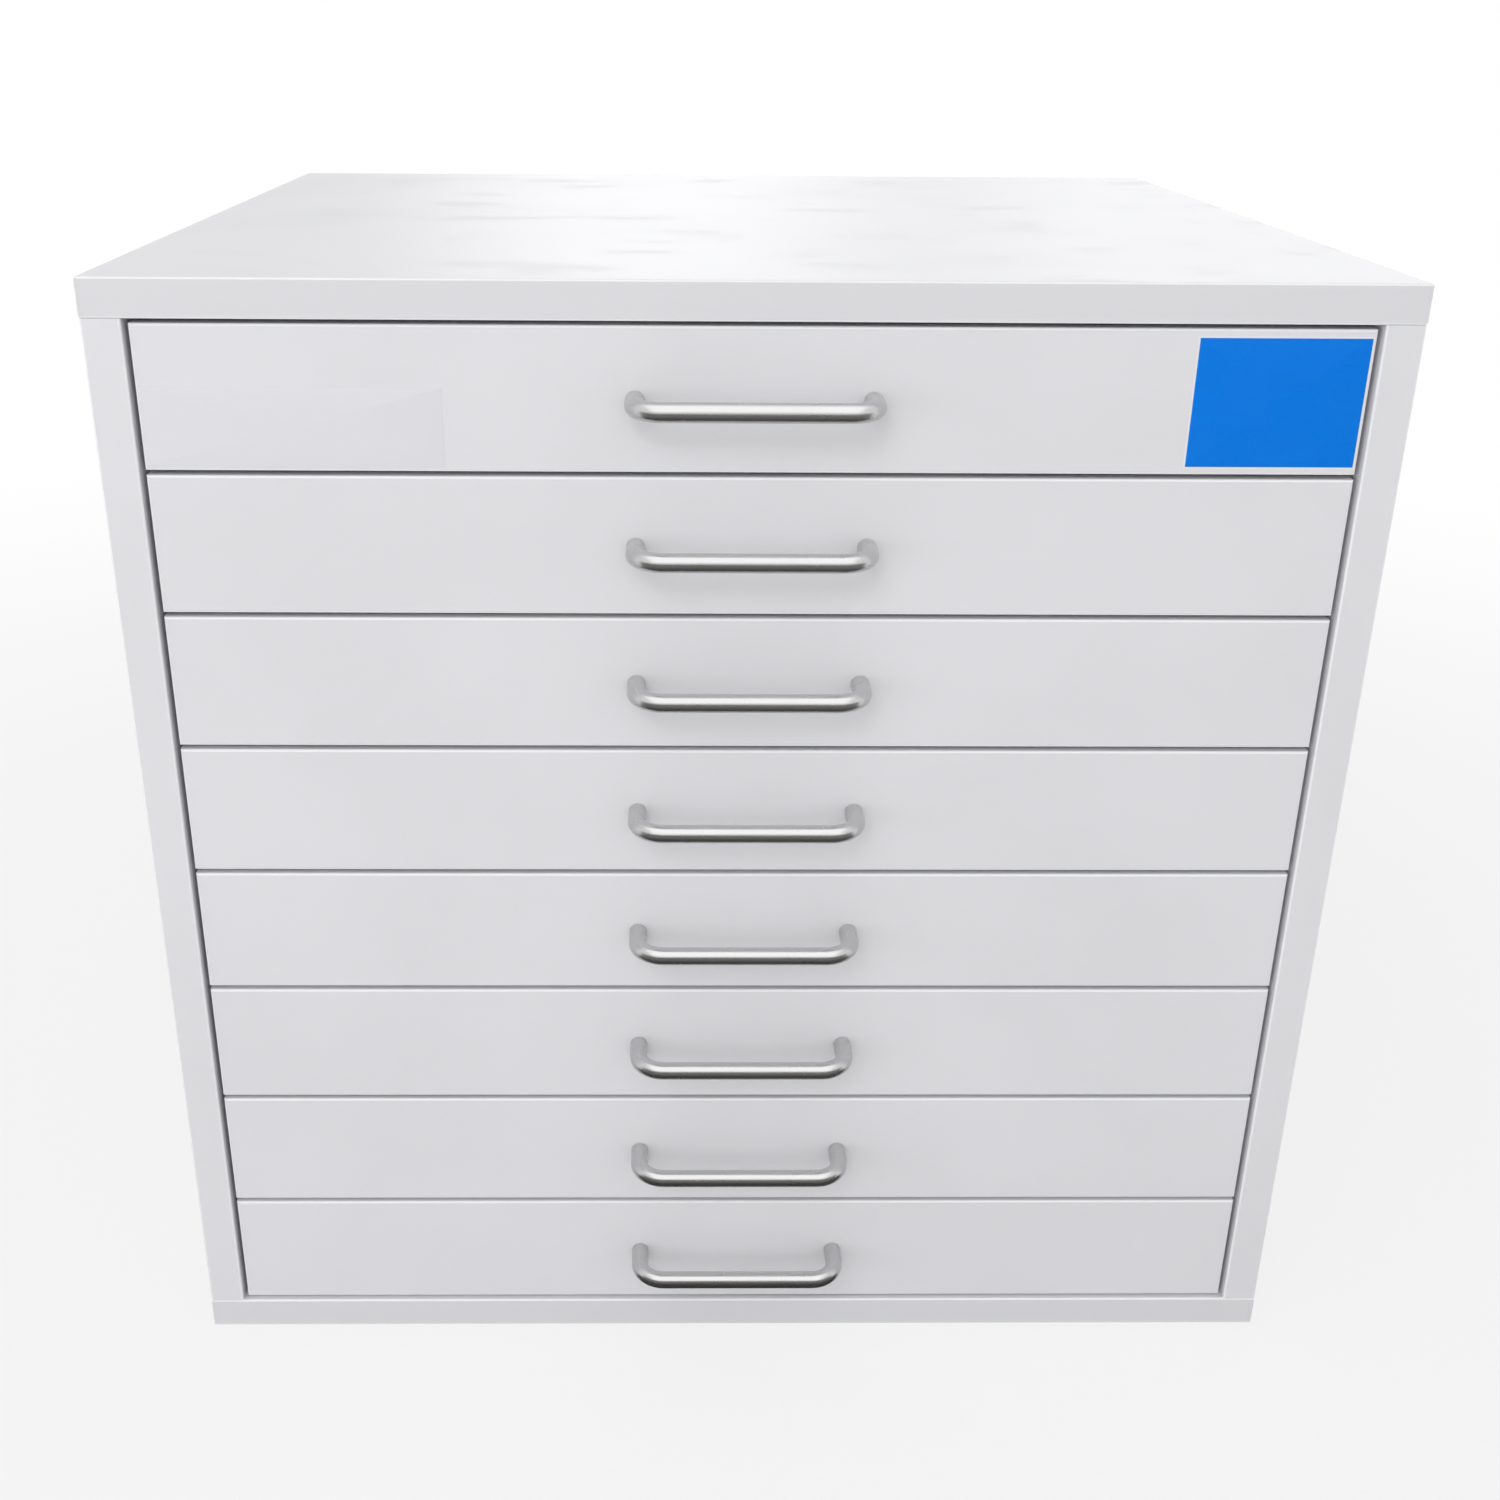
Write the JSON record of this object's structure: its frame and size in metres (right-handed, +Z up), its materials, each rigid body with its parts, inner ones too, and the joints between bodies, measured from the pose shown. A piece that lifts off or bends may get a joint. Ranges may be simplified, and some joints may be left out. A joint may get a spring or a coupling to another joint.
{
  "type": "thread drawer chest",
  "caption": "Low white chest of equal inset drawers with bent bar handles, each sliding on strips, for storing reels of thread.",
  "frame": {"origin": "middle of the underside of the bottom panel, on the surface that the chest stands on", "axes": "+Z up, the drawers open towards -Y, +X to the right as seen from the front"},
  "size_m": [0.53, 0.4845, 0.52],
  "materials": {
    "coated_board": "white melamine, fine satin texture",
    "wrapped_board": "white foil, satin",
    "hardboard": "white lacquered face",
    "rail_board": "white foil, satin",
    "runner_plastic": "smooth",
    "dowel_wood": "fluted beech",
    "satin_steel": "satin nickel",
    "zinc_steel": "zinc plated"
  },
  "bodies": {
    "cabinet": {"top_panel": "coated_board", "bottom_panel": "coated_board", "left_side": "coated_board", "right_side": "coated_board", "back_panel": "hardboard", "left_runners": "runner_plastic", "right_runners": "runner_plastic", "carcass_dowels": "dowel_wood"},
    "drawer_1": {"drawer_1_front": "coated_board", "drawer_1_frame": "wrapped_board", "drawer_1_bottom": "hardboard", "drawer_1_rails": "rail_board", "drawer_1_handle": "satin_steel", "drawer_1_handle_screws": "zinc_steel"},
    "drawer_2": {"drawer_2_front": "coated_board", "drawer_2_frame": "wrapped_board", "drawer_2_bottom": "hardboard", "drawer_2_rails": "rail_board", "drawer_2_handle": "satin_steel", "drawer_2_handle_screws": "zinc_steel"},
    "drawer_3": {"drawer_3_front": "coated_board", "drawer_3_frame": "wrapped_board", "drawer_3_bottom": "hardboard", "drawer_3_rails": "rail_board", "drawer_3_handle": "satin_steel", "drawer_3_handle_screws": "zinc_steel"},
    "drawer_4": {"drawer_4_front": "coated_board", "drawer_4_frame": "wrapped_board", "drawer_4_bottom": "hardboard", "drawer_4_rails": "rail_board", "drawer_4_handle": "satin_steel", "drawer_4_handle_screws": "zinc_steel"},
    "drawer_5": {"drawer_5_front": "coated_board", "drawer_5_frame": "wrapped_board", "drawer_5_bottom": "hardboard", "drawer_5_rails": "rail_board", "drawer_5_handle": "satin_steel", "drawer_5_handle_screws": "zinc_steel"},
    "drawer_6": {"drawer_6_front": "coated_board", "drawer_6_frame": "wrapped_board", "drawer_6_bottom": "hardboard", "drawer_6_rails": "rail_board", "drawer_6_handle": "satin_steel", "drawer_6_handle_screws": "zinc_steel"},
    "drawer_7": {"drawer_7_front": "coated_board", "drawer_7_frame": "wrapped_board", "drawer_7_bottom": "hardboard", "drawer_7_rails": "rail_board", "drawer_7_handle": "satin_steel", "drawer_7_handle_screws": "zinc_steel"},
    "drawer_8": {"drawer_8_front": "coated_board", "drawer_8_frame": "wrapped_board", "drawer_8_bottom": "hardboard", "drawer_8_rails": "rail_board", "drawer_8_handle": "satin_steel", "drawer_8_handle_screws": "zinc_steel"}
  },
  "joints": [
    {"name": "drawer_1_slide", "type": "slide", "parent": "cabinet", "child": "drawer_1", "axis": [0, -1, 0], "range_m": [0, 0.3]},
    {"name": "drawer_2_slide", "type": "slide", "parent": "cabinet", "child": "drawer_2", "axis": [0, -1, 0], "range_m": [0, 0.3]},
    {"name": "drawer_3_slide", "type": "slide", "parent": "cabinet", "child": "drawer_3", "axis": [0, -1, 0], "range_m": [0, 0.3]},
    {"name": "drawer_4_slide", "type": "slide", "parent": "cabinet", "child": "drawer_4", "axis": [0, -1, 0], "range_m": [0, 0.3]},
    {"name": "drawer_5_slide", "type": "slide", "parent": "cabinet", "child": "drawer_5", "axis": [0, -1, 0], "range_m": [0, 0.3]},
    {"name": "drawer_6_slide", "type": "slide", "parent": "cabinet", "child": "drawer_6", "axis": [0, -1, 0], "range_m": [0, 0.3]},
    {"name": "drawer_7_slide", "type": "slide", "parent": "cabinet", "child": "drawer_7", "axis": [0, -1, 0], "range_m": [0, 0.3]},
    {"name": "drawer_8_slide", "type": "slide", "parent": "cabinet", "child": "drawer_8", "axis": [0, -1, 0], "range_m": [0, 0.3]}
  ]
}
